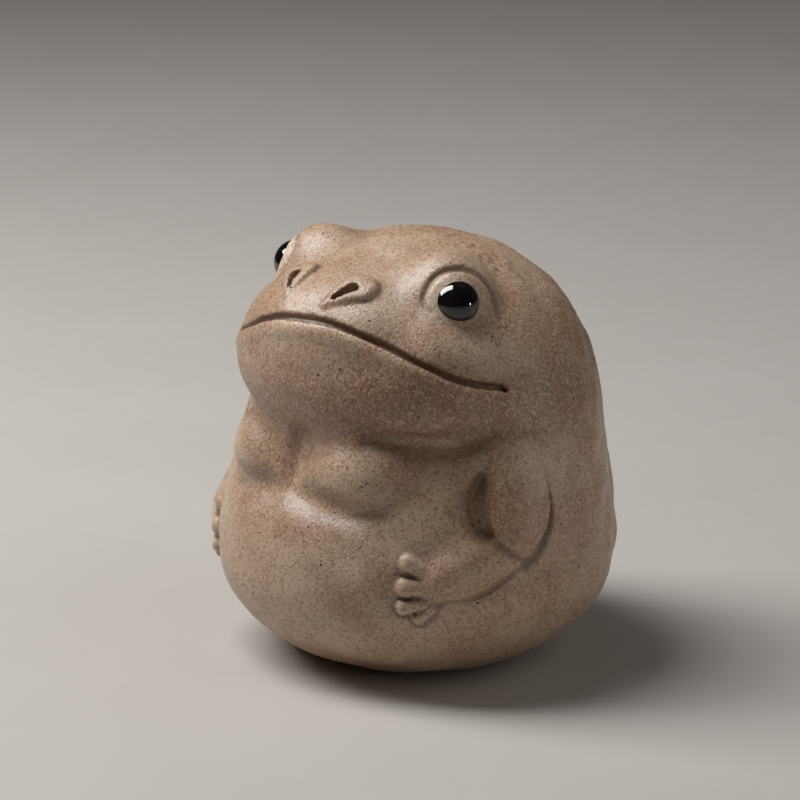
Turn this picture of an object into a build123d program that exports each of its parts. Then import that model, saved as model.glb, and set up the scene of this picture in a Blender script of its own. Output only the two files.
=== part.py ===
"""Seated toad figurine: a hollow stoneware shell with applied arms, brows and eyes and a vented base slab.

Units are millimetres, +Z is up, the toad faces -Y and its left side is on +X.
"""
import os

import numpy as np
from build123d import *

# ---- clay body: each lump is (centre, radii, lean about X in degrees) ----
SEAT = ((0.0, -0.3, 9.9), (20.5, 20.1, 9.5), 0.0)
BELLY = ((0.0, -0.5, 14.2), (22.2, 21.6, 15.7), 0.0)
TRUNK = ((0.0, 1.4, 22.4), (20.9, 18.9, 19.0), 0.0)
LEFT_BREAST = ((7.7, -12.9, 24.4), (6.6, 6.0, 4.9), 0.0)
RIGHT_BREAST = ((-7.7, -12.9, 24.4), (6.6, 6.0, 4.9), 0.0)
SKULL = ((0.0, 0.6, 33.2), (19.1, 16.8, 14.3), 0.0)
JOWL = ((0.0, -4.3, 31.2), (18.7, 14.8, 7.3), -10.0)
MUZZLE = ((0.0, -7.4, 36.6), (16.2, 11.6, 8.4), 14.0)
NOSE = ((0.0, -11.3, 39.4), (9.6, 7.4, 5.2), 0.0)
BODY_BLEND = 5.0
BREAST_BLEND = 2.4
HEAD_BLEND = 4.0
NOSE_BLEND = 3.0
THROAT_BLEND = 2.2
NAPE_BLEND = 6.0
THROAT_DEPTH = 6.0

# ---- section grid of the skin; it starts a little low and is trimmed flat at the resting face ----
FOOT_LEVEL = -0.6
SKIN_CENTRE = (0.0, 0.0, 20.0)
SKIN_SEAM = 180.0
POINTS_AROUND = 64
LOWEST_RING_ANGLE = 145.0
HIGHEST_RING_ANGLE = 7.0
RING_COUNT = 32
SEARCH_REACH = 45.0
SEARCH_STEPS = 40

# ---- hollow inside, as (radius, height) points of its turned profile ----
CAVITY_FLOOR = 3.2
CAVITY_FLOOR_RADIUS = 12.0
CAVITY_PROFILE = ((16.3, 7.0), (17.4, 13.0), (16.4, 20.0), (14.6, 27.0), (13.0, 32.5), (8.2, 38.0))
CAVITY_TOP = 40.0
SEAM_Y = 1.0

# ---- base slab closing the underside ----
SLAB_RADIUS = 9.5
VENT_RADIUS = 1.5

# ---- eyes and brows ----
EYE_CENTRE = (10.2, -5.0, 42.3)
EYEBALL_RADIUS = 4.1
EYE_TURN = 57.0
EYE_LIFT = 12.5
PUPIL_RADIUS = 2.5
PUPIL_SINK = 1.1
BROW_RADIUS = 4.7
BROW_SHIFT = (-0.4, 0.6, 0.8)

# ---- arms: (degrees round from the front, height, ball radius, depth of its centre below the skin) ----
SHOULDER = (77.5, 25.4, 5.6, 4.6)
ELBOW = (77.5, 19.6, 5.9, 4.4)
FOREARM = (74.5, 16.7, 4.2, 2.8)
WRIST = (52.0, 14.3, 3.2, 2.1)
FINGERS = (
    ((50.0, 15.4, 0.95, 0.5), (43.2, 16.3, 1.1, 0.45)),
    ((49.5, 14.1, 1.0, 0.4), (42.0, 13.9, 1.2, 0.55)),
    ((50.0, 12.7, 0.8, 0.5), (43.0, 11.6, 1.0, 0.4)),
    ((51.5, 11.9, 0.75, 0.6), (46.0, 10.2, 0.9, 0.35)),
)


def lump_distance(points, lump):
    """Approximate signed distance from points to one ellipsoid lump."""
    centre, radii, lean = lump
    angle = np.radians(lean)
    turn = np.array(
        [
            [1.0, 0.0, 0.0],
            [0.0, np.cos(angle), -np.sin(angle)],
            [0.0, np.sin(angle), np.cos(angle)],
        ]
    )
    local = (points - np.array(centre)) @ turn
    radii = np.array(radii)
    stretch = np.linalg.norm(local / radii, axis=-1)
    slope = np.linalg.norm(local / radii**2, axis=-1)
    return stretch * (stretch - 1.0) / slope


def blend(first, second, width):
    """Union of two distances with a fillet of the given width."""
    mix = np.clip(0.5 + 0.5 * (second - first) / width, 0.0, 1.0)
    return second + (first - second) * mix - width * mix * (1.0 - mix)


def skin_distance(points):
    """Signed distance to the toad's outer skin before the brows, eyes and arms are applied."""
    body = blend(lump_distance(points, BELLY), lump_distance(points, TRUNK), BODY_BLEND)
    body = blend(body, lump_distance(points, SEAT), BODY_BLEND)
    for breast in (LEFT_BREAST, RIGHT_BREAST):
        body = blend(body, lump_distance(points, breast), BREAST_BLEND)
    head = blend(lump_distance(points, SKULL), lump_distance(points, JOWL), HEAD_BLEND)
    for lump in (MUZZLE, NOSE):
        head = blend(head, lump_distance(points, lump), NOSE_BLEND)
    front = np.clip(0.5 - 0.5 * points[..., 1] / THROAT_DEPTH, 0.0, 1.0)
    return blend(body, head, THROAT_BLEND * front + NAPE_BLEND * (1.0 - front))


def skin_hits(origins, directions):
    """Points where rays from inside the body leave the skin."""
    near = np.zeros(len(directions))
    far = np.full(len(directions), SEARCH_REACH)
    for _ in range(SEARCH_STEPS):
        middle = 0.5 * (near + far)
        inside = skin_distance(origins + middle[:, None] * directions) < 0.0
        near = np.where(inside, middle, near)
        far = np.where(inside, far, middle)
    return origins + near[:, None] * directions


def compass(degrees):
    """Horizontal unit vectors, measured round from the front towards the left side."""
    angle = np.radians(degrees)
    return np.stack([np.sin(angle), -np.cos(angle), np.zeros_like(angle)], axis=-1)


def ring_wire(points):
    """Closed smooth wire through one ring of skin points."""
    steps = [index / len(points) for index in range(len(points) + 1)]
    corners = [tuple(float(value) for value in point) for point in points]
    return Wire([Edge.make_spline(corners, periodic=True, parameters=steps)])


def make_skin():
    """Solid bounded by the outer skin and the flat resting face."""
    around = compass(SKIN_SEAM + np.arange(POINTS_AROUND) * 360.0 / POINTS_AROUND)
    centre = np.array(SKIN_CENTRE)
    up = np.array([0.0, 0.0, 1.0])
    wires = [ring_wire(skin_hits(FOOT_LEVEL * up, around))]
    for polar in np.radians(np.linspace(LOWEST_RING_ANGLE, HIGHEST_RING_ANGLE, RING_COUNT)):
        directions = np.sin(polar) * around + np.cos(polar) * up
        wires.append(ring_wire(skin_hits(centre, directions)))
    crown = skin_hits(centre, up[None, :])[0]
    crown_vertex = Vertex(*(float(value) for value in crown))
    ground = Pos(0.0, 0.0, -SEARCH_REACH) * Box(*[2.0 * SEARCH_REACH] * 3)
    return Solid.make_loft([*wires, crown_vertex]) - ground


def make_cavity():
    """Turned hollow inside the shell, flat on the base slab's level."""
    with BuildPart() as cavity:
        with BuildSketch(Plane.XZ):
            with BuildLine():
                floor = Line((0.0, CAVITY_FLOOR), (CAVITY_FLOOR_RADIUS, CAVITY_FLOOR))
                side = Spline(floor @ 1, *CAVITY_PROFILE, (0.0, CAVITY_TOP))
                Line(side @ 1, floor @ 0)
            make_face()
        revolve(axis=Axis.Z)
    return cavity.part


def arm_joint(place):
    """Centre of one left arm ball lying just below the skin."""
    degrees, height, _, depth = place
    direction = compass(np.array([degrees]))
    level = np.array([[0.0, 0.0, height]])
    point = skin_hits(level, direction)[0] - depth * direction[0]
    return Vector(*(float(value) for value in point))


def limb(start_place, end_place):
    """Tapered round limb turned about the line between two joints."""
    start = arm_joint(start_place)
    end = arm_joint(end_place)
    start_radius = start_place[2]
    end_radius = end_place[2]
    length = (end - start).length
    lean = np.arcsin((start_radius - end_radius) / length)
    flare = float(np.cos(lean))
    rise = float(np.sin(lean))
    half = float(np.sin(0.5 * lean - np.pi / 4.0))
    half_flare = float(np.cos(0.5 * lean - np.pi / 4.0))
    end_half = float(np.sin(0.5 * lean + np.pi / 4.0))
    end_half_flare = float(np.cos(0.5 * lean + np.pi / 4.0))
    with BuildPart() as turned:
        with BuildSketch(Plane.XZ):
            with BuildLine():
                start_cap = ThreePointArc(
                    (0.0, -start_radius),
                    (start_radius * half_flare, start_radius * half),
                    (start_radius * flare, start_radius * rise),
                )
                end_cap = ThreePointArc(
                    (end_radius * flare, length + end_radius * rise),
                    (end_radius * end_half_flare, length + end_radius * end_half),
                    (0.0, length + end_radius),
                )
                Line(start_cap @ 1, end_cap @ 0)
                Line(end_cap @ 1, start_cap @ 0)
            make_face()
        revolve(axis=Axis.Z)
    return Plane(origin=start, z_dir=end - start) * turned.part


def make_arm(skin):
    """Bent left arm with four fingers, laid on the skin."""
    arm = limb(SHOULDER, ELBOW) + limb(FOREARM, WRIST)
    for knuckle, fingertip in FINGERS:
        arm += limb(knuckle, fingertip)
    return arm - skin


def save(shape, node):
    """Write one node's STEP file."""
    export_step(shape, f"parts/{node}.step")


os.makedirs("parts", exist_ok=True)
skin = make_skin()
slab_place = Pos(0.0, 0.0, CAVITY_FLOOR / 2.0)
slab_blank = slab_place * Cylinder(SLAB_RADIUS, CAVITY_FLOOR)
save(slab_blank - slab_place * Cylinder(VENT_RADIUS, CAVITY_FLOOR), "base_slab")

shell = skin - make_cavity() - slab_blank
eye = Vector(*EYE_CENTRE)
look = Vector(0.0, 0.0, 1.0).rotate(Axis.Y, 90.0 - EYE_LIFT).rotate(Axis.Z, EYE_TURN - 90.0)
eye_frame = Plane(origin=eye, z_dir=look)
eyeball_blank = eye_frame * Sphere(EYEBALL_RADIUS)
pupil = eye_frame * Pos(0.0, 0.0, EYEBALL_RADIUS - PUPIL_SINK) * Sphere(PUPIL_RADIUS)
brow_blank = Plane(origin=eye + Vector(*BROW_SHIFT), z_dir=look) * Sphere(BROW_RADIUS)
left_nodes = {
    "pupil": pupil,
    "eyeball": eyeball_blank - pupil,
    "brow": brow_blank - eyeball_blank - pupil - skin,
    "arm": make_arm(skin),
}
for node, shape in left_nodes.items():
    save(shape, f"left_{node}")
    save(mirror(shape, about=Plane.YZ), f"right_{node}")
eye_cut = eyeball_blank + pupil
shell = shell - eye_cut - mirror(eye_cut, about=Plane.YZ)

block_size = 3.0 * SEARCH_REACH
block = Box(block_size, block_size, block_size)
front_half = Pos(0.0, SEAM_Y - block_size / 2.0, 0.0) * block
back_half = Pos(0.0, SEAM_Y + block_size / 2.0, 0.0) * block
save(shell & front_half, "front_wall")
save(shell & back_half, "back_wall")
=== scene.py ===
"""Seated stoneware toad: a sculpted clay skin with glazed pupils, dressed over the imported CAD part.

The sculpture is one signed distance field, in millimetres in the row's frame: +Z is up, the toad faces -Y
and its left side is on +X. Paired features are shaped once, on the left side, and mirrored. A surface place
is written as (degrees round from the front towards the left side, height).
"""

import math

import bpy
import numpy as np
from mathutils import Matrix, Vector


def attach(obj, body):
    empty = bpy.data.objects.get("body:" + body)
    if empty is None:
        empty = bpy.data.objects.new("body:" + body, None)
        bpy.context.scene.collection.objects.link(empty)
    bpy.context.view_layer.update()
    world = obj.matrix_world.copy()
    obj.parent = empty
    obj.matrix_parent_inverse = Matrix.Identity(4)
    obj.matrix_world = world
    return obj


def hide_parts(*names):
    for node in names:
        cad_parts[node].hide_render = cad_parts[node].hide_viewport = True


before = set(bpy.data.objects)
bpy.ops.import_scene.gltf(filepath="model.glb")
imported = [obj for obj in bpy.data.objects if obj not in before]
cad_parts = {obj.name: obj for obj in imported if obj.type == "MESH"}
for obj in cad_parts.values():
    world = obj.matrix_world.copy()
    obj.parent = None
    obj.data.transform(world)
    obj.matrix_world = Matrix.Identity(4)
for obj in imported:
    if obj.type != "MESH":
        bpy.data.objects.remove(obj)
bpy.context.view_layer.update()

MM = 0.001

# ==== sculpture sizes ====
# body lumps: centre, radii, lean about X in degrees
SEAT = ((0.0, -0.3, 9.9), (20.5, 20.1, 9.5), 0.0)
BELLY = ((0.0, -0.5, 14.2), (22.2, 21.6, 15.7), 0.0)
TRUNK = ((0.0, 1.4, 22.4), (20.9, 18.9, 19.0), 0.0)
BREAST = ((6.8, -13.3, 24.5), (6.1, 6.0, 5.1), 0.0)
SKULL = ((0.0, 0.6, 33.2), (19.1, 16.8, 14.3), 0.0)
JOWL = ((0.0, -4.3, 31.2), (18.7, 14.8, 7.3), -10.0)
MUZZLE = ((0.0, -7.4, 36.6), (16.2, 11.6, 8.4), 14.0)
NOSE = ((0.0, -11.3, 39.4), (9.6, 7.4, 5.2), 0.0)
BODY_BLEND = 5.0
BREAST_BLEND = 1.9
HEAD_BLEND = 4.0
NOSE_BLEND = 3.0
THROAT_BLEND = 3.0
NAPE_BLEND = 6.0
THROAT_DEPTH = 6.0

# eyes: a place on the lid groove is (degrees from the eye's rear side upwards, distance from the look axis,
# groove radius)
EYE_CENTRE = np.array((10.2, -5.0, 42.3))
EYEBALL_RADIUS = 4.25
EYEBALL_COVER = 0.05
EYEBALL_BLEND = 1.6
EYE_TURN = 55.0
EYE_LIFT = 12.5
PUPIL_RADIUS = 2.6
PUPIL_SINK = 1.25
BROW_SHIFT = (-0.5, 0.7, 1.0)
BROW_RADIUS = 4.5
BROW_BLEND = 2.6
LID_GROOVE = (
    (215.0, 3.0, 0.08), (180.0, 2.8, 0.24), (155.0, 2.75, 0.34), (120.0, 2.9, 0.36), (90.0, 3.0, 0.38),
    (65.0, 3.3, 0.34), (35.0, 4.0, 0.3), (5.0, 4.55, 0.28), (-20.0, 4.9, 0.22), (-35.0, 5.2, 0.08),
)
LID_FORWARD = 2.4

# seat of the pupil in the eyeball, as (distance from the look axis, height from the pupil's centre)
PUPIL_SEAT = ((0.0, -0.6), (1.6, -0.5), (2.15, 0.1))
SEAT_RIM_RADIUS = 2.25
EYE_ROWS = 48

# lines pressed into the skin, as (degrees, height, radius) places; below zero a radius presses more weakly,
# so a line fades out towards it
MOUTH = (
    (-61.0, 33.8, 0.02), (-58.0, 34.8, 0.1), (-48.0, 35.9, 0.18), (-34.5, 37.4, 0.28), (-18.0, 39.6, 0.36),
    (-5.0, 40.8, 0.36), (13.0, 41.1, 0.36), (31.0, 39.6, 0.36), (48.0, 37.3, 0.36), (59.0, 35.6, 0.36),
    (69.0, 34.7, 0.36), (73.0, 34.4, 0.36), (74.5, 34.0, 0.3),
)
MOUTH_SINK = 0.3
MOUTH_EDGE = 0.3
LIP_DROP = 1.3
LIP_RADIUS = 1.3
LIP_SINK = 1.1
LIP_BLEND = 0.5
LID_EDGE = 0.3
THROAT = ((30.0, 28.8, -0.8), (46.0, 28.6, -0.1), (62.0, 28.6, 0.0), (74.0, 28.9, -0.4), (82.0, 29.4, -1.0))
THROAT_FILLET = 3.0
UNDER_BREAST = (
    (0.0, 22.3, -0.2), (8.0, 21.6, -0.1), (17.0, 21.1, -0.1), (25.0, 21.0, -0.3), (33.0, 21.4, -1.0),
)
CLEFT = ((0.0, 27.5, -0.7), (0.0, 25.0, -0.2), (0.0, 22.4, -0.1))
BREAST_FILLET = 3.4

# nostrils: teardrop rim and slot, each from its narrow front end to its wide back end
NOSTRIL_RIM = (((2.9, -16.6, 42.6), 0.6), ((4.6, -13.4, 44.2), 2.2))
NOSTRIL_RISE = 0.6
NOSTRIL_TOP_EDGE = 0.5
NOSTRIL_BLEND = 0.25
NOSTRIL_SLOT = (((3.5, -16.0, 43.4), 0.26), ((4.6, -14.2, 44.45), 0.6))
NOSTRIL_DEPTH = np.array((-0.3, 0.3, -0.3))
NOSTRIL_EDGE = 0.2

# arms: degrees, height, radius, depth of the centre below the skin
SHOULDER = (76.5, 25.6, 5.6, 4.3)
ELBOW = (76.0, 20.3, 5.7, 4.1)
FOREARM = (72.5, 17.5, 3.9, 2.5)
WRIST = (55.0, 14.6, 3.2, 1.9)
PALM = (49.5, 13.8, 2.3, 1.4)
FINGERS = (
    ((48.0, 15.2, 1.0, 0.4), (43.2, 16.3, 1.15, 0.4)),
    ((47.5, 13.8, 1.1, 0.4), (42.4, 13.7, 1.3, 0.5)),
    ((47.5, 12.0, 0.9, 0.2), (41.9, 11.5, 1.0, 0.25)),
    ((49.5, 11.4, 0.8, 0.2), (46.0, 10.3, 0.85, 0.2)),
)
HAND_BLEND = 0.8
FINGER_BLEND = 0.15
UPPER_ARM_BLEND = 2.0
FINGER_GROOVES = (
    ((39.5, 15.2, 0.05), (43.0, 14.9, 0.22), (48.5, 14.4, 0.05)),
    ((38.5, 12.6, 0.05), (42.0, 12.5, 0.22), (47.5, 12.6, 0.05)),
    ((38.5, 12.2, 0.05), (39.3, 11.2, 0.14), (41.7, 10.4, 0.18), (45.0, 10.8, 0.2), (49.0, 11.6, 0.05)),
)
FINGER_EDGE = 0.12
ARM_FOLD = (
    (68.5, 26.6, -0.6), (64.8, 24.4, 0.05), (63.0, 22.0, 0.45), (64.0, 20.0, 0.35), (66.5, 18.8, 0.1),
    (69.5, 17.7, -0.5), (72.0, 17.0, -1.2),
)
FOLD_FILLET = 2.3
ARM_CREASE = (
    (63.5, 21.0, 0.02), (64.5, 19.8, 0.2), (67.0, 18.5, 0.32), (72.0, 17.0, 0.28), (76.0, 16.2, 0.05),
)
CREASE_EDGE = 0.3
ARM_BACK = (
    (84.0, 27.5, -0.7), (85.5, 25.0, -0.3), (86.0, 22.5, -0.15), (85.6, 20.2, 0.0), (84.0, 18.4, 0.05),
    (80.8, 16.6, 0.05), (76.3, 15.3, 0.0),
)
BACK_FILLET = 1.6
ARM_UNDER = (
    (84.6, 19.2, 0.02), (82.5, 17.3, 0.12), (79.3, 15.9, 0.2), (76.3, 15.2, 0.22), (71.8, 14.3, 0.24),
    (67.9, 13.4, 0.24), (64.1, 12.7, 0.24), (58.7, 12.2, 0.22), (53.5, 12.2, 0.2), (51.0, 11.4, 0.2),
    (49.9, 10.6, 0.2), (47.8, 9.5, 0.2), (45.3, 9.3, 0.18), (43.6, 10.2, 0.05),
)
UNDER_EDGE = 0.25

# crown, back and flanks: spacing, width and height of the bumps; the crown's stipple is a band across it
WART_SIZE = 5.5
WART_WIDTH = 2.7
WART_HEIGHT = 0.26
STIPPLE_SIZE = 0.95
STIPPLE_WIDTH = 0.36
STIPPLE_HEIGHT = 0.4
FLANK_SHARE = 0.18
CROWN_BAND = 1.8
CROWN_BAND_WIDTH = 1.9
UNEVENNESS = 0.04

VENT_RADIUS = 1.5
VENT_DEPTH = 8.0
VENT_START = -2.0
VENT_ROUNDING = 0.4
FOOT_ROUNDING = 1.2

# mesh grid: (low, high, fine from, fine to) along X, Y and Z, and the steps between its lines
GRID_SPANS = ((-25.0, 25.0, -25.0, 25.0), (-25.0, 24.0, -25.0, 4.0), (-1.0, 49.5, 9.0, 49.5))
STEP_FINE = 0.32
STEP_COARSE = 0.52
STEP_GROWTH = 0.05

# lines in a block, how many blocks from the skin are worked out exactly, and how many points go at a time
BLOCK = 4
BLOCK_REACH = 1.3
PART_SIZE = 200000

# depth given to filled grid points, and the furthest that a mesh point is moved onto the skin in one go
FILL_DEPTH = 0.01
LARGEST_SHIFT = 0.3 * STEP_FINE

# how far outwards a crease is looked for, for the painted crease shade, and how ruddy the painted jaw shade
# is beside the skin below the eye
HOLLOW_REACH = 0.8
JAW_PAINTED_SHADE = 0.8

# finding the skin from inside, and moving places onto it
SEARCH_REACH = 40.0
SEARCH_STEPS = 30
SETTLE_STEPS = 12

# numbers that scatter the bumps by chance, the same way in every run
CHANCE_STRIDE = np.array((12.99, 78.23, 37.72))
CHANCE_GAIN = 43.75
CHANCE_PACES = (1.0, 1.37, 1.93)


# ==== sculpting tools ====
def lump(points, shape):
    """Distance to an ellipsoid."""
    centre, radii, lean = shape
    angle = math.radians(lean)
    local = points - np.array(centre, np.float32)
    if lean:
        turn = ((1, 0, 0), (0, math.cos(angle), -math.sin(angle)), (0, math.sin(angle), math.cos(angle)))
        local = local @ np.array(turn, np.float32)
    radii = np.array(radii, np.float32)
    stretch = np.linalg.norm(local / radii, axis=-1)
    slope = np.linalg.norm(local / radii**2, axis=-1) + 1e-6
    return stretch * (stretch - 1.0) / slope


def ball(points, centre, radius):
    """Distance to a sphere."""
    return np.linalg.norm(points - np.asarray(centre, np.float32), axis=-1) - radius


def rod(points, start, end, start_radius, end_radius):
    """Distance to a tapered round rod."""
    start = np.asarray(start, np.float32)
    span = np.asarray(end, np.float32) - start
    along = np.clip((points - start) @ span / (span @ span), 0.0, 1.0)
    nearest = start + along[..., None] * span
    return np.linalg.norm(points - nearest, axis=-1) - (start_radius + (end_radius - start_radius) * along)


def blend(first, second, width):
    """Union with a fillet of the given width."""
    mix = np.clip(0.5 + 0.5 * (second - first) / width, 0.0, 1.0)
    return second + (first - second) * mix - width * mix * (1.0 - mix)


def carve(solid, tool, width):
    """Cut with a rounded edge of the given width."""
    return -blend(-solid, tool, width)


def smooth_path(places, steps=4):
    """Catmull-Rom curve through the places."""
    knots = np.array(places, float)
    knots = np.vstack([2 * knots[0] - knots[1], knots, 2 * knots[-1] - knots[-2]])
    curve = []
    for before, start, end, after in zip(knots, knots[1:], knots[2:], knots[3:]):
        for t in np.arange(steps) / steps:
            bend = (2 * before - 5 * start + 4 * end - after) * t**2
            bend += (3 * start - before - 3 * end + after) * t**3
            curve.append(0.5 * (2 * start + (end - before) * t + bend))
    curve.append(knots[-2])
    return np.array(curve)


def trail(points, path, radii, reach=3.0):
    """Distance to a rope of changing radius along a path, worked out only within reach of it."""
    low = path.min(axis=0) - reach
    high = path.max(axis=0) + reach
    near = np.all((points > low) & (points < high), axis=-1)
    close = points[near]
    best = np.full(len(close), reach, np.float32)
    for index in range(len(path) - 1):
        best = np.minimum(best, rod(close, path[index], path[index + 1], radii[index], radii[index + 1]))
    distance = np.full(points.shape[:-1], reach, np.float32)
    distance[near] = best
    return distance


def compass(degrees):
    """Horizontal unit vector, measured round from the front towards the left side."""
    angle = np.radians(degrees)
    return np.stack([np.sin(angle), -np.cos(angle), np.zeros_like(angle)], axis=-1)


def skin_place(degrees, height, depth=0.0):
    """Points on the bare body skin, or a depth below it."""
    outward = compass(np.asarray(degrees, float))
    level = np.zeros_like(outward)
    level[..., 2] = height
    near = np.zeros(outward.shape[:-1])
    far = near + SEARCH_REACH
    for _ in range(SEARCH_STEPS):
        middle = 0.5 * (near + far)
        inside = bare_body(level + middle[..., None] * outward) < 0.0
        near = np.where(inside, middle, near)
        far = np.where(inside, far, middle)
    return level + (near - depth)[..., None] * outward


def joint(place):
    """Centre of an arm ball."""
    return skin_place(place[0], place[1], place[3])


def mirrored(points):
    """The points folded over to the toad's left side."""
    folded = points.copy()
    folded[..., 0] = np.abs(folded[..., 0])
    return folded


# ==== the toad ====
def bare_body(points):
    """The lumps of body and head, before eyes, mouth and arms."""
    side = mirrored(points)
    body = blend(lump(points, BELLY), lump(points, TRUNK), BODY_BLEND)
    body = blend(body, lump(points, SEAT), BODY_BLEND)
    body = blend(body, lump(side, BREAST), BREAST_BLEND)
    head = blend(lump(points, SKULL), lump(points, JOWL), HEAD_BLEND)
    head = blend(head, lump(points, MUZZLE), NOSE_BLEND)
    head = blend(head, lump(points, NOSE), NOSE_BLEND)
    front = np.clip(0.5 - 0.5 * points[..., 1] / THROAT_DEPTH, 0.0, 1.0)
    return blend(body, head, THROAT_BLEND * front + NAPE_BLEND * (1.0 - front))


def look_direction():
    """Unit vector along which the left eye looks."""
    turn = math.radians(EYE_TURN)
    lift = math.radians(EYE_LIFT)
    return np.array((math.sin(turn) * math.cos(lift), -math.cos(turn) * math.cos(lift), math.sin(lift)))


LOOK = look_direction()
LOOK_SIDE = np.cross(LOOK, (0.0, 0.0, 1.0))
LOOK_SIDE /= np.linalg.norm(LOOK_SIDE)
LOOK_UP = np.cross(LOOK_SIDE, LOOK)


def settle(places, skin):
    """Moves places onto the skin along its slope."""
    for _ in range(SETTLE_STEPS):
        places = places - skin(places)[:, None] * slope(places, skin)
    return places


def slope(points, skin, reach=0.05):
    """Unit outward direction of a distance field."""
    columns = []
    for axis in np.eye(3) * reach:
        columns.append(skin(points + axis) - skin(points - axis))
    direction = np.stack(columns, axis=-1)
    return direction / (np.linalg.norm(direction, axis=-1, keepdims=True) + 1e-9)


def eye_place(out, front, up):
    """A place near the left eye, from its centre along its own look, front and up directions."""
    return EYE_CENTRE + out * LOOK + front * LOOK_SIDE + up * LOOK_UP


def browed_body(points):
    """Bare body with the brow bumps and eyeballs blended in."""
    side = mirrored(points)
    skin = blend(bare_body(points), ball(side, eye_place(*BROW_SHIFT), BROW_RADIUS), BROW_BLEND)
    return blend(skin, ball(side, EYE_CENTRE, EYEBALL_RADIUS - EYEBALL_COVER), EYEBALL_BLEND)


class Arm:
    """Ball centres and radii of the left arm, worked out once."""

    upper = (joint(SHOULDER), joint(ELBOW), SHOULDER[2], ELBOW[2])
    lower = (joint(FOREARM), joint(WRIST), FOREARM[2], WRIST[2])
    palm = (joint(PALM), PALM[2])
    fingers = [(joint(knuckle), joint(tip), knuckle[2], tip[2]) for knuckle, tip in FINGERS]


def lay_arm(skin, side):
    """Left arm, folded over the belly, blended onto a skin."""
    hand = blend(rod(side, *Arm.lower), ball(side, *Arm.palm), HAND_BLEND)
    skin = blend(skin, hand, HAND_BLEND)
    for finger in Arm.fingers:
        skin = blend(skin, rod(side, *finger), FINGER_BLEND)
    return blend(skin, rod(side, *Arm.upper), UPPER_ARM_BLEND)


def armed_body(points):
    """Body with the arms laid on, before any line is pressed in."""
    return lay_arm(browed_body(points), mirrored(points))


def lid_groove_path():
    """Centre line and radii of the groove that runs over the left eyeball and down behind it."""
    table = smooth_path(LID_GROOVE)
    angle = np.radians(table[:, 0])
    places = [eye_place(LID_FORWARD, -r * math.cos(a), r * math.sin(a)) for a, r in zip(angle, table[:, 1])]
    return settle(np.array(places), browed_body), table[:, 2]


def track(places, sink=0.0, drop=0.0):
    """Smooth line of points on or under the skin and its radii, from (degrees, height, radius) places."""
    table = smooth_path(places)
    return skin_place(table[:, 0], table[:, 1] - drop, sink), table[:, 2]


def arm_track(places):
    """Line of points settled on the skin with the arm laid on it, and its radii."""
    path, radii = track(places)
    return settle(path, armed_body), radii


class Tracks:
    """Feature lines on the skin, worked out once."""

    lid = lid_groove_path()
    mouth = track(MOUTH, MOUTH_SINK)
    lip = track([(*place[:2], LIP_RADIUS) for place in MOUTH[2:]], LIP_SINK, LIP_DROP)
    throat = track(THROAT)
    under_breast = track(UNDER_BREAST)
    cleft = track(CLEFT)
    fold = track(ARM_FOLD)
    back = track(ARM_BACK)
    crease = arm_track(ARM_CREASE)
    under = arm_track(ARM_UNDER)
    fingers = [arm_track(groove) for groove in FINGER_GROOVES]


def add_arm(skin, side):
    """Left arm with its creases pressed in."""
    skin = lay_arm(skin, side)
    skin = carve(skin, trail(side, *Tracks.fold), FOLD_FILLET)
    skin = carve(skin, trail(side, *Tracks.crease), CREASE_EDGE)
    skin = carve(skin, trail(side, *Tracks.back), BACK_FILLET)
    for groove in Tracks.fingers:
        skin = carve(skin, trail(side, *groove), FINGER_EDGE)
    return carve(skin, trail(side, *Tracks.under), UNDER_EDGE)


def add_nostril(skin, side):
    """Raised teardrop pad with a slot that goes into its outer face."""
    (tip, tip_radius), (end, end_radius) = NOSTRIL_RIM
    rim = rod(side, tip, end, tip_radius, end_radius)
    pad = -blend(NOSTRIL_RISE - skin, -rim, NOSTRIL_TOP_EDGE)
    skin = blend(skin, pad, NOSTRIL_BLEND)
    (front, front_radius), (back, back_radius) = NOSTRIL_SLOT
    for share in (0.0, 0.5, 1.0):
        inward = NOSTRIL_DEPTH * share
        slot = rod(side, front + inward, back + inward, front_radius, back_radius)
        skin = carve(skin, slot, NOSTRIL_EDGE)
    return skin


def pimples(points, size, width):
    """Scattered round bumps 0 to 1 high: one at a chance place in each cube of the given size."""
    base = np.floor(points / size - 0.5)
    best = np.zeros(points.shape[:-1])
    for corner in np.ndindex(2, 2, 2):
        cube = base + corner
        phase = cube @ CHANCE_STRIDE + size
        chance = np.stack([np.sin(phase * pace) * CHANCE_GAIN for pace in CHANCE_PACES], axis=-1)
        place = (cube + 0.25 + 0.5 * (chance - np.floor(chance))) * size
        best += np.exp(-1.4 * np.sum((points - place) ** 2, axis=-1) / width**2)
    return np.minimum(best, 1.5)


def fade(value, start, end):
    """Smooth step from 0 at start to 1 at end."""
    t = np.clip((value - start) / (end - start), 0.0, 1.0)
    return t * t * (3.0 - 2.0 * t)


def texture_height(points):
    """How far the warts, the rough stipple and the hand-pressed unevenness lift the skin."""
    x, y, z = points[..., 0], points[..., 1], points[..., 2]
    waves = np.sin(0.9 * x + 1.3 * z) + np.sin(1.1 * y - 0.8 * z + 2.0) + np.sin(0.7 * x - 1.2 * y + 1.0)
    lift = UNEVENNESS * waves
    rear = np.flatnonzero(y > -2.0)
    x, y, z = x[rear], y[rear], z[rear]
    warts = fade(y, 2.0, 9.0) * fade(z, 2.0, 7.0)
    band = np.exp(-(((y - CROWN_BAND) / CROWN_BAND_WIDTH) ** 2))
    crown = fade(z, 42.0, 44.0) * band * fade(-np.abs(x), -15.0, -10.0)
    flank = FLANK_SHARE * fade(y, 0.5, 4.0) * fade(z, 5.0, 9.0)
    close = points[rear].astype(float)
    lift[rear] += WART_HEIGHT * warts * pimples(close, WART_SIZE, WART_WIDTH)
    lift[rear] += STIPPLE_HEIGHT * (crown + flank) * pimples(close, STIPPLE_SIZE, STIPPLE_WIDTH)
    return lift


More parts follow.
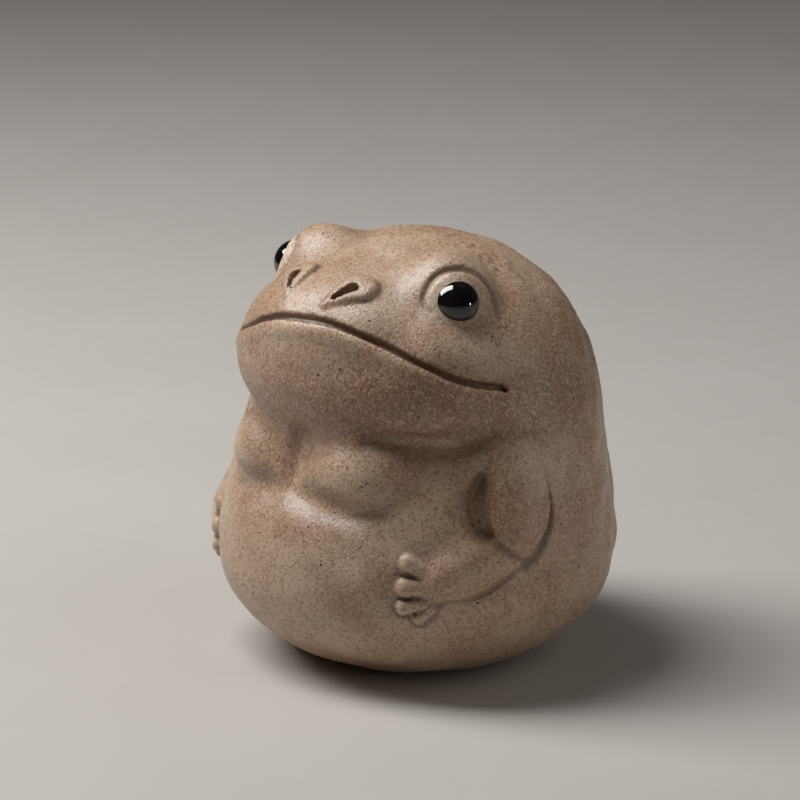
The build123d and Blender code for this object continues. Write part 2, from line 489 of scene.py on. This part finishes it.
def toad(points):
    """The whole clay skin."""
    side = mirrored(points)
    skin = browed_body(points) - texture_height(points)
    skin = carve(skin, trail(side, *Tracks.throat), THROAT_FILLET)
    chest = np.minimum(trail(side, *Tracks.under_breast), trail(side, *Tracks.cleft))
    skin = carve(skin, chest, BREAST_FILLET)
    skin = carve(skin, trail(side, *Tracks.lid), LID_EDGE)
    skin = blend(skin, trail(points, *Tracks.lip), LIP_BLEND)
    skin = carve(skin, trail(points, *Tracks.mouth), MOUTH_EDGE)
    skin = add_nostril(skin, side)
    skin = add_arm(skin, side)
    skin = carve(skin, points[..., 2], FOOT_ROUNDING)
    vent = rod(points, (0, 0, VENT_START), (0, 0, VENT_DEPTH), VENT_RADIUS, VENT_RADIUS)
    return carve(skin, vent, VENT_ROUNDING)


# ==== mesh ====
def grid_lines(low, high, fine_from, fine_to):
    """Grid lines, close together between fine_from and fine_to and opening out beyond."""
    lines = [low]
    while lines[-1] < high or len(lines) % BLOCK:
        beyond = max(fine_from - lines[-1], lines[-1] - fine_to, 0.0)
        lines.append(lines[-1] + min(STEP_FINE + STEP_GROWTH * beyond, STEP_COARSE))
    return np.array(lines)


def sample(skin, lines):
    """Distances on the grid: exact in the blocks near the skin and rough in the others."""
    middles = [axis.reshape(-1, BLOCK).mean(axis=1) for axis in lines]
    centres = np.stack(np.meshgrid(*middles, indexing="ij"), axis=-1).astype(np.float32)
    rough = skin(centres.reshape(-1, 3)).reshape(centres.shape[:3])
    values = np.kron(rough, np.ones((BLOCK, BLOCK, BLOCK))).astype(np.float32)
    blocks = np.argwhere(np.abs(rough) < BLOCK_REACH * BLOCK * STEP_COARSE)
    inner = np.stack(np.meshgrid(*[np.arange(BLOCK)] * 3, indexing="ij"), axis=-1).reshape(-1, 3)
    cells = (blocks[:, None, :] * BLOCK + inner).reshape(-1, 3)
    for part in np.array_split(cells, max(1, len(cells) // PART_SIZE)):
        points = np.stack([lines[k][part[:, k]] for k in range(3)], axis=-1).astype(np.float32)
        values[tuple(part.T)] = skin(points)
    return values


def untangle(values):
    """Fills the grid points that would make two sheets of the skin share an edge."""
    for first, second in ((0, 1), (1, 2), (2, 0)) * 4:
        grid = np.moveaxis(values, (first, second), (0, 1))
        corner = grid[:-1, :-1] < 0
        side = grid[1:, :-1] < 0
        crossed = (corner != side) & (corner == (grid[1:, 1:] < 0)) & (side == (grid[:-1, 1:] < 0))
        grid[:-1, :-1][crossed & side] = -FILL_DEPTH
        grid[1:, :-1][crossed & corner] = -FILL_DEPTH


def corner_values(values, cells, corner):
    """Distances at one corner of each cell."""
    return values[tuple((cells + corner).T)]


def net_points(values, lines, cells):
    """One point per cell: the mean of the places where the skin crosses the cell's edges."""
    total = np.zeros((len(cells), 3))
    hits = np.zeros(len(cells))
    for along in range(3):
        across = [axis for axis in range(3) if axis != along]
        for first in (0, 1):
            for second in (0, 1):
                corner = np.zeros(3, int)
                corner[across[0]] = first
                corner[across[1]] = second
                step = np.zeros(3, int)
                step[along] = 1
                start = corner_values(values, cells, corner)
                end = corner_values(values, cells, corner + step)
                crossed = (start < 0) != (end < 0)
                share = np.where(crossed, start / np.where(crossed, start - end, 1.0), 0.0)
                low = np.stack([lines[k][cells[:, k] + corner[k]] for k in range(3)], axis=-1)
                high = lines[along][cells[:, along] + 1]
                low[:, along] += share * (high - low[:, along])
                total += low * crossed[:, None]
                hits += crossed
    return total / hits[:, None]


def net_quads(inside, number):
    """Quads joining the points of the four cells round each grid edge that crosses the skin."""
    quads = []
    for along in range(3):
        second, third = (along + 1) % 3, (along + 2) % 3
        lower = np.moveaxis(inside, (along, second, third), (0, 1, 2))[:-1, 1:-1, 1:-1]
        upper = np.moveaxis(inside, (along, second, third), (0, 1, 2))[1:, 1:-1, 1:-1]
        edges = np.argwhere(lower != upper)
        leaving = lower[tuple(edges.T)]
        corners = []
        for back_second, back_third in ((1, 1), (0, 1), (0, 0), (1, 0)):
            cell = np.zeros_like(edges)
            cell[:, along] = edges[:, 0]
            cell[:, second] = edges[:, 1] + 1 - back_second
            cell[:, third] = edges[:, 2] + 1 - back_third
            corners.append(number[tuple(cell.T)])
        quad = np.stack(corners, axis=-1)
        quads.append(np.where(leaving[:, None], quad, quad[:, ::-1]))
    return np.concatenate(quads)


def skin_net(skin, lines):
    """Points and quads of the closed surface where a distance field is zero."""
    values = sample(skin, lines)
    untangle(values)
    inside = values < 0
    mixed = np.zeros(tuple(size - 1 for size in values.shape), int)
    for corner in np.ndindex(2, 2, 2):
        window = tuple(slice(c, size - 1 + c) for c, size in zip(corner, values.shape))
        mixed += inside[window]
    surface = (mixed > 0) & (mixed < 8)
    number = np.full(surface.shape, -1)
    number[surface] = np.arange(surface.sum())
    points = net_points(values, lines, np.argwhere(surface))
    for _ in range(2):
        shift = np.clip(skin(points), -LARGEST_SHIFT, LARGEST_SHIFT)
        points = points - shift[:, None] * slope(points, skin)
    return points, net_quads(inside, number)


def add_mesh(name, points, faces, material):
    """Smooth-shaded mesh object from points in millimetres."""
    mesh = bpy.data.meshes.new(name)
    mesh.from_pydata((np.asarray(points) * MM).tolist(), [], faces)
    mesh.polygons.foreach_set("use_smooth", [True] * len(mesh.polygons))
    mesh.materials.append(material)
    mesh.update()
    thing = bpy.data.objects.new(name, mesh)
    bpy.context.scene.collection.objects.link(thing)
    return thing


def set_attribute(thing, name, values):
    """One number per point, for the materials."""
    attribute = thing.data.attributes.new(name, "FLOAT", "POINT")
    attribute.data.foreach_set("value", np.asarray(values, np.float32))


def lathe(name, outline, origin, axis, material, turns=96, waver=0.0):
    """Closed turned piece: outline is (radius, height along the axis) from one pole to the other."""
    side = np.cross(axis, (0.0, 0.0, 1.0))
    side /= np.linalg.norm(side)
    other = np.cross(axis, side)
    angles = np.arange(turns) * 2 * math.pi / turns
    wobble = 1.0 + waver * (np.sin(3 * angles + 0.7) + 0.6 * np.sin(5 * angles + 2.1))
    points = [origin + outline[0][1] * axis]
    for radius, height in outline[1:-1]:
        ring = radius * wobble[:, None] * (np.cos(angles)[:, None] * side + np.sin(angles)[:, None] * other)
        points.extend(origin + height * axis + ring)
    points.append(origin + outline[-1][1] * axis)
    faces = []
    last = len(points) - 1
    for index in range(turns):
        after = (index + 1) % turns
        faces.append((0, 1 + after, 1 + index))
        for row in range(len(outline) - 3):
            start = 1 + row * turns
            faces.append((start + index, start + after, start + turns + after, start + turns + index))
        start = last - turns
        faces.append((start + index, start + after, last))
    return add_mesh(name, points, faces, material)


# ==== materials ====
def paint(red, green, blue):
    """Linear colour from an 8-bit screen colour."""
    channels = [value / 255.0 for value in (red, green, blue)]
    linear = [c / 12.92 if c <= 0.04045 else ((c + 0.055) / 1.055) ** 2.4 for c in channels]
    return (*linear, 1.0)


class Nodes:
    """Short calls for building one material's node tree."""

    def __init__(self, name):
        self.material = bpy.data.materials.new(name)
        self.material.use_nodes = True
        self.tree = self.material.node_tree
        self.shader = self.tree.nodes["Principled BSDF"]
        self.place = self.add("ShaderNodeTexCoord").outputs["Object"]

    def add(self, kind, inputs=(), **settings):
        """New node; inputs is {socket: value or output}."""
        node = self.tree.nodes.new(kind)
        for key, value in settings.items():
            setattr(node, key, value)
        for socket, value in dict(inputs).items():
            self.feed(node.inputs[socket], value)
        return node

    def feed(self, socket, value):
        """Sets a socket or links an output to it."""
        if isinstance(value, bpy.types.NodeSocket):
            self.tree.links.new(value, socket)
        else:
            socket.default_value = value

    def noise(self, size, detail=3.0, roughness=0.5):
        """Smooth noise with features of the given size in millimetres."""
        scale = 1.0 / (size * MM)
        sockets = {"Vector": self.place, "Scale": scale, "Detail": detail, "Roughness": roughness}
        return self.add("ShaderNodeTexNoise", sockets).outputs["Fac"]

    def cells(self, size):
        """Cell pattern with cells of the given size in millimetres."""
        sockets = {"Vector": self.place, "Scale": 1.0 / (size * MM)}
        return self.add("ShaderNodeTexVoronoi", sockets)

    def ramp(self, value, low, high, to_low=0.0, to_high=1.0):
        """Value remapped from low..high to to_low..to_high."""
        limits = {"From Min": low, "From Max": high, "To Min": to_low, "To Max": to_high}
        return self.add("ShaderNodeMapRange", {"Value": value, **limits}).outputs["Result"]

    def math(self, operation, first, second):
        """One arithmetic step."""
        return self.add("ShaderNodeMath", {0: first, 1: second}, operation=operation).outputs[0]

    def mix(self, share, first, second):
        """Colour mix; a mix node's colour sockets are numbers 6 and 7, and its colour result is number 2."""
        return self.add("ShaderNodeMix", {0: share, 6: first, 7: second}, data_type="RGBA").outputs[2]

    def attribute(self, name):
        """Per-point number stored on the mesh."""
        return self.add("ShaderNodeAttribute", attribute_name=name).outputs["Fac"]

    def dots(self, size, share, radius):
        """Scattered round dots: size of the cells, share of them with a dot, the dot's relative radius."""
        cells = self.cells(size)
        pick = self.add("ShaderNodeSeparateColor", {"Color": cells.outputs["Color"]}).outputs["Red"]
        chosen = self.math("LESS_THAN", pick, share)
        spot = self.ramp(cells.outputs["Distance"], radius, radius * 0.6)
        return self.math("MULTIPLY", chosen, spot)


# pale grains, brown grains and two sizes of iron specks: cell size, share of cells, relative radius, colour
CLAY_SPECKS = (
    (0.5, 0.12, 0.2, paint(206, 180, 152)),
    (0.3, 0.2, 0.3, paint(124, 96, 76)),
    (0.8, 0.2, 0.14, paint(60, 44, 36)),
    (2.0, 0.4, 0.09, paint(30, 23, 20)),
)


def clay_material():
    """Sandy tan stoneware with iron specks, with painted shade that makes it browner in creases and ruddier
    and darker under the jaw, and paler round the pupils: a paler eyeball, painted on the skin only on its
    lit front as a painted highlight.
    """
    clay = Nodes("tan_clay")
    pale = paint(202, 175, 149)
    tan = paint(178, 145, 117)
    ruddy = paint(164, 116, 93)
    brown = paint(98, 68, 49)
    # ruddy brown of the painted shade under the jaw
    jaw_shade_brown = paint(124, 79, 59)
    # pale eyeball clay, also used as the painted highlight on the lit side of the eye
    eye_cream_highlight = paint(236, 212, 188)
    colour = clay.mix(clay.ramp(clay.noise(9.0, 2.0), 0.35, 0.65), tan, pale)
    colour = clay.mix(clay.ramp(clay.noise(6.0, 3.0), 0.5, 0.75, 0.0, 0.6), colour, ruddy)
    colour = clay.mix(clay.ramp(clay.noise(1.6, 4.0, 0.6), 0.4, 0.7, 0.0, 0.14), colour, brown)
    tint_and_painted_light = clay.attribute("tint_and_painted_light")
    # painted shade: ruddier and darker under the jaw, with ruddier clay below the eye
    colour = clay.mix(clay.ramp(tint_and_painted_light, 0.0, 1.0, 0.0, 0.6), colour, jaw_shade_brown)
    # pale eyeball clay round the pupils, on the skin only on the lit front side: partly the eyeball's own
    # pale clay, partly a painted highlight
    colour = clay.mix(clay.ramp(tint_and_painted_light, 0.0, -1.0, 0.0, 0.8), colour, eye_cream_highlight)
    sand = clay.add("ShaderNodeSeparateColor", {"Color": clay.cells(0.24).outputs["Color"]}).outputs["Green"]
    colour = clay.mix(clay.ramp(sand, 0.6, 1.0, 0.0, 0.7), colour, pale)
    colour = clay.mix(clay.ramp(sand, 0.4, 0.0, 0.0, 0.5), colour, brown)
    # painted shade: browner and darker deep in creases, where shade falls
    colour = clay.mix(clay.ramp(clay.attribute("crease_shade"), 0.05, 0.6, 0.0, 0.65), colour, brown)
    for size, share, radius, grit in CLAY_SPECKS:
        colour = clay.mix(clay.dots(size, share, radius), colour, grit)
    clay.feed(clay.shader.inputs["Base Color"], colour)
    wear = clay.ramp(clay.noise(2.0, 3.0), 0.3, 0.7, 0.31, 0.42)
    clay.feed(clay.shader.inputs["Roughness"], wear)
    grain = clay.noise(0.3, 3.0, 0.6)
    pits = clay.dots(0.55, 0.35, 0.28)
    height = clay.math("SUBTRACT", grain, clay.math("MULTIPLY", pits, 0.6))
    bump = clay.add("ShaderNodeBump", {"Height": height, "Strength": 0.85, "Distance": 0.08 * MM})
    clay.feed(clay.shader.inputs["Normal"], bump.outputs["Normal"])
    return clay.material


def glaze_material():
    """Thick black glaze with a faint brown depth and a slightly wavy surface."""
    glaze = Nodes("black_glaze")
    colour = glaze.mix(glaze.ramp(glaze.noise(1.2), 0.4, 0.7), paint(6, 6, 8), paint(24, 17, 15))
    glaze.feed(glaze.shader.inputs["Base Color"], colour)
    glaze.feed(glaze.shader.inputs["Roughness"], glaze.ramp(glaze.noise(0.4), 0.3, 0.7, 0.03, 0.08))
    waves = glaze.noise(0.9, 1.0)
    bump = glaze.add("ShaderNodeBump", {"Height": waves, "Strength": 0.25, "Distance": 0.05 * MM})
    glaze.feed(glaze.shader.inputs["Normal"], bump.outputs["Normal"])
    glaze.shader.inputs["Coat Weight"].default_value = 0.6
    glaze.shader.inputs["Coat Roughness"].default_value = 0.03
    return glaze.material


def floor_material():
    """Pale matt table paper."""
    floor = Nodes("pale_floor")
    colour = floor.mix(floor.noise(30.0, 4.0), paint(184, 178, 170), paint(192, 186, 179))
    floor.feed(floor.shader.inputs["Base Color"], colour)
    floor.feed(floor.shader.inputs["Roughness"], floor.ramp(floor.noise(3.0), 0.3, 0.7, 0.7, 0.85))
    tooth = floor.noise(0.6, 3.0)
    bump = floor.add("ShaderNodeBump", {"Height": tooth, "Strength": 0.2, "Distance": 0.05 * MM})
    floor.feed(floor.shader.inputs["Normal"], bump.outputs["Normal"])
    return floor.material


# ==== pieces ====
CLAY = clay_material()
GLAZE = glaze_material()
CLAY_NODES = ("front_wall", "back_wall", "base_slab", "left_arm", "right_arm", "left_brow", "right_brow")


def arc_outline(radius, centre, start, end, count):
    """Outline points on a circle, from start to end degrees off the axis."""
    angles = np.radians(np.linspace(start, end, count))
    return [(radius * math.sin(a), centre + radius * math.cos(a)) for a in angles]


def crease_shade_amount(points):
    """From 0 on open skin to 1 deep in a crease, where the way straight out soon meets skin again; it sets
    the painted shade in creases.
    """
    above = toad(points + HOLLOW_REACH * slope(points, toad))
    return np.clip(1.0 - above / HOLLOW_REACH, 0.0, 1.0)


def tint_and_painted_light(points):
    """Share of ruddy clay below the eye and of ruddy, dark painted shade under the jaw, and, below zero, of
    pale clay round the pupil, kept to its lit front as a painted highlight.
    """
    height = points[:, 2]
    from_eye = mirrored(points) - EYE_CENTRE
    distance = np.linalg.norm(from_eye, axis=-1)
    # painted shade, ruddy and dark, on the underside of the jaw
    jaw_shade = fade(distance, 7.0, 12.0) * fade(height, 26.0, 31.0) * fade(-height, -41.0, -33.0)
    below_eye = fade(-distance, -8.0, -4.5) * fade(-height, -43.0, -39.0)
    # pale clay round the pupil, kept to its lit upper front: partly the eyeball's own pale clay, partly a
    # painted highlight
    pale = fade(from_eye @ LOOK / distance, 0.65, 0.71)
    pale *= fade(from_eye @ LOOK_SIDE, -3.0, 1.0) * fade(from_eye @ LOOK_UP, -3.2, -0.5)
    return (1.0 - pale) * (below_eye + JAW_PAINTED_SHADE * jaw_shade) - pale


def add_skin():
    """Fired clay skin: shell, base, arms and brows in one surface, which also closes over the eyeballs."""
    lines = [grid_lines(*span) for span in GRID_SPANS]
    points, quads = skin_net(toad, lines)
    skin = add_mesh("clay_skin", points, quads.tolist(), CLAY)
    # share of painted shade in creases
    set_attribute(skin, "crease_shade", crease_shade_amount(points))
    # shares of ruddy clay below the eye, painted shade under the jaw and the pale painted highlight round
    # the pupil
    set_attribute(skin, "tint_and_painted_light", tint_and_painted_light(points))
    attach(skin, "root")
    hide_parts(*CLAY_NODES)


def add_eye(side, mirror):
    """Clay eyeball, which the skin closes over, and the glazed pupil that stands out of its front."""
    origin = EYE_CENTRE * (mirror, 1, 1)
    axis = LOOK * (mirror, 1, 1)
    seat = EYEBALL_RADIUS - PUPIL_SINK
    shoulder = math.degrees(math.asin(SEAT_RIM_RADIUS / EYEBALL_RADIUS))
    front = [(radius, seat + height) for radius, height in PUPIL_SEAT]
    back = arc_outline(EYEBALL_RADIUS, 0.0, shoulder, 180.0, EYE_ROWS)
    eyeball = lathe(f"{side}_eyeball_clay", front + back, origin, axis, CLAY)
    count = len(eyeball.data.vertices)
    set_attribute(eyeball, "crease_shade", np.zeros(count))
    set_attribute(eyeball, "tint_and_painted_light", np.full(count, -1.0))
    outline = arc_outline(PUPIL_RADIUS, seat, 0.0, 180.0, EYE_ROWS)
    pupil = lathe(f"{side}_pupil_glaze", outline, origin, axis, GLAZE, waver=0.006)
    for piece, node, slot in ((eyeball, "eyeball", "tan_clay"), (pupil, "pupil", "black_glaze")):
        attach(piece, "root")
        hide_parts(f"{side}_{node}")


add_skin()
add_eye("left", 1)
add_eye("right", -1)

# ==== stage, light and camera ====
VIEW_TURN = 46.0
VIEW_LIFT = 16.0
VIEW_DISTANCE = 0.4
VIEW_AIM_SIDE = -0.002
VIEW_AIM_HEIGHT = 0.0282
LENS = 160.7
LIGHT_AIM = Vector((0.0, 0.0, 0.026))
LIGHT_COLOUR = (0.97, 0.98, 1.0)
SKY_COLOUR = (0.95, 0.88, 0.82, 1.0)
SKY_STRENGTH = 0.03
FLOOR_RINGS = (60.0, 200.0, 700.0, 2500.0)
FLOOR_TURNS = 64


def direction(turn, lift):
    """Unit vector towards a place round the toad, in degrees from its front and above the floor."""
    turn, lift = math.radians(turn), math.radians(lift)
    return Vector((math.sin(turn) * math.cos(lift), -math.cos(turn) * math.cos(lift), math.sin(lift)))


def add_floor():
    """Round pale floor under the toad."""
    points = [(0.0, 0.0, 0.0)]
    faces = []
    for ring, radius in enumerate(FLOOR_RINGS):
        for step in range(FLOOR_TURNS):
            angle = 2 * math.pi * step / FLOOR_TURNS
            points.append((radius * math.cos(angle), radius * math.sin(angle), 0.0))
            after = (step + 1) % FLOOR_TURNS
            outer = 1 + ring * FLOOR_TURNS
            if ring == 0:
                faces.append((0, outer + step, outer + after))
            else:
                inner = outer - FLOOR_TURNS
                faces.append((inner + step, outer + step, outer + after, inner + after))
    add_mesh("floor", points, faces, floor_material())


def add_light(name, turn, lift, distance, size, power, mirrored_in_glaze=True):
    """Soft panel light of a (width, height), aimed at the toad's middle."""
    light = bpy.data.lights.new(name, "AREA")
    light.shape = "RECTANGLE"
    light.size = size[0]
    light.size_y = size[1]
    light.energy = power
    light.color = LIGHT_COLOUR
    lamp = bpy.data.objects.new(name, light)
    lamp.location = LIGHT_AIM + direction(turn, lift) * distance
    lamp.rotation_euler = (LIGHT_AIM - lamp.location).to_track_quat("-Z", "Y").to_euler()
    lamp.visible_glossy = mirrored_in_glaze
    bpy.context.scene.collection.objects.link(lamp)


def add_camera():
    """Camera at the reference viewing angle."""
    camera = bpy.data.objects.new("camera", bpy.data.cameras.new("camera"))
    camera.data.lens = LENS
    camera.data.clip_start = 0.01
    camera.data.clip_end = 10.0
    side = Vector((math.cos(math.radians(VIEW_TURN)), math.sin(math.radians(VIEW_TURN)), 0.0))
    aim = side * VIEW_AIM_SIDE + Vector((0.0, 0.0, VIEW_AIM_HEIGHT))
    camera.location = aim + direction(VIEW_TURN, VIEW_LIFT) * VIEW_DISTANCE
    camera.rotation_euler = (aim - camera.location).to_track_quat("-Z", "Y").to_euler()
    bpy.context.scene.collection.objects.link(camera)
    bpy.context.scene.camera = camera


def add_sky():
    """Even pale surround."""
    world = bpy.data.worlds.new("surround")
    world.use_nodes = True
    background = world.node_tree.nodes["Background"]
    background.inputs["Color"].default_value = SKY_COLOUR
    background.inputs["Strength"].default_value = SKY_STRENGTH
    bpy.context.scene.world = world


add_floor()
add_light("key", -56.0, 56.0, 0.4, (0.18, 0.34), 2.2)
add_light("fill", 122.0, 35.0, 0.6, (0.5, 0.5), 0.58, mirrored_in_glaze=False)
add_light("glint", 118.0, 4.0, 0.3, (0.02, 0.02), 0.05)
add_sky()
add_camera()
bpy.context.scene.view_settings.view_transform = "Standard"
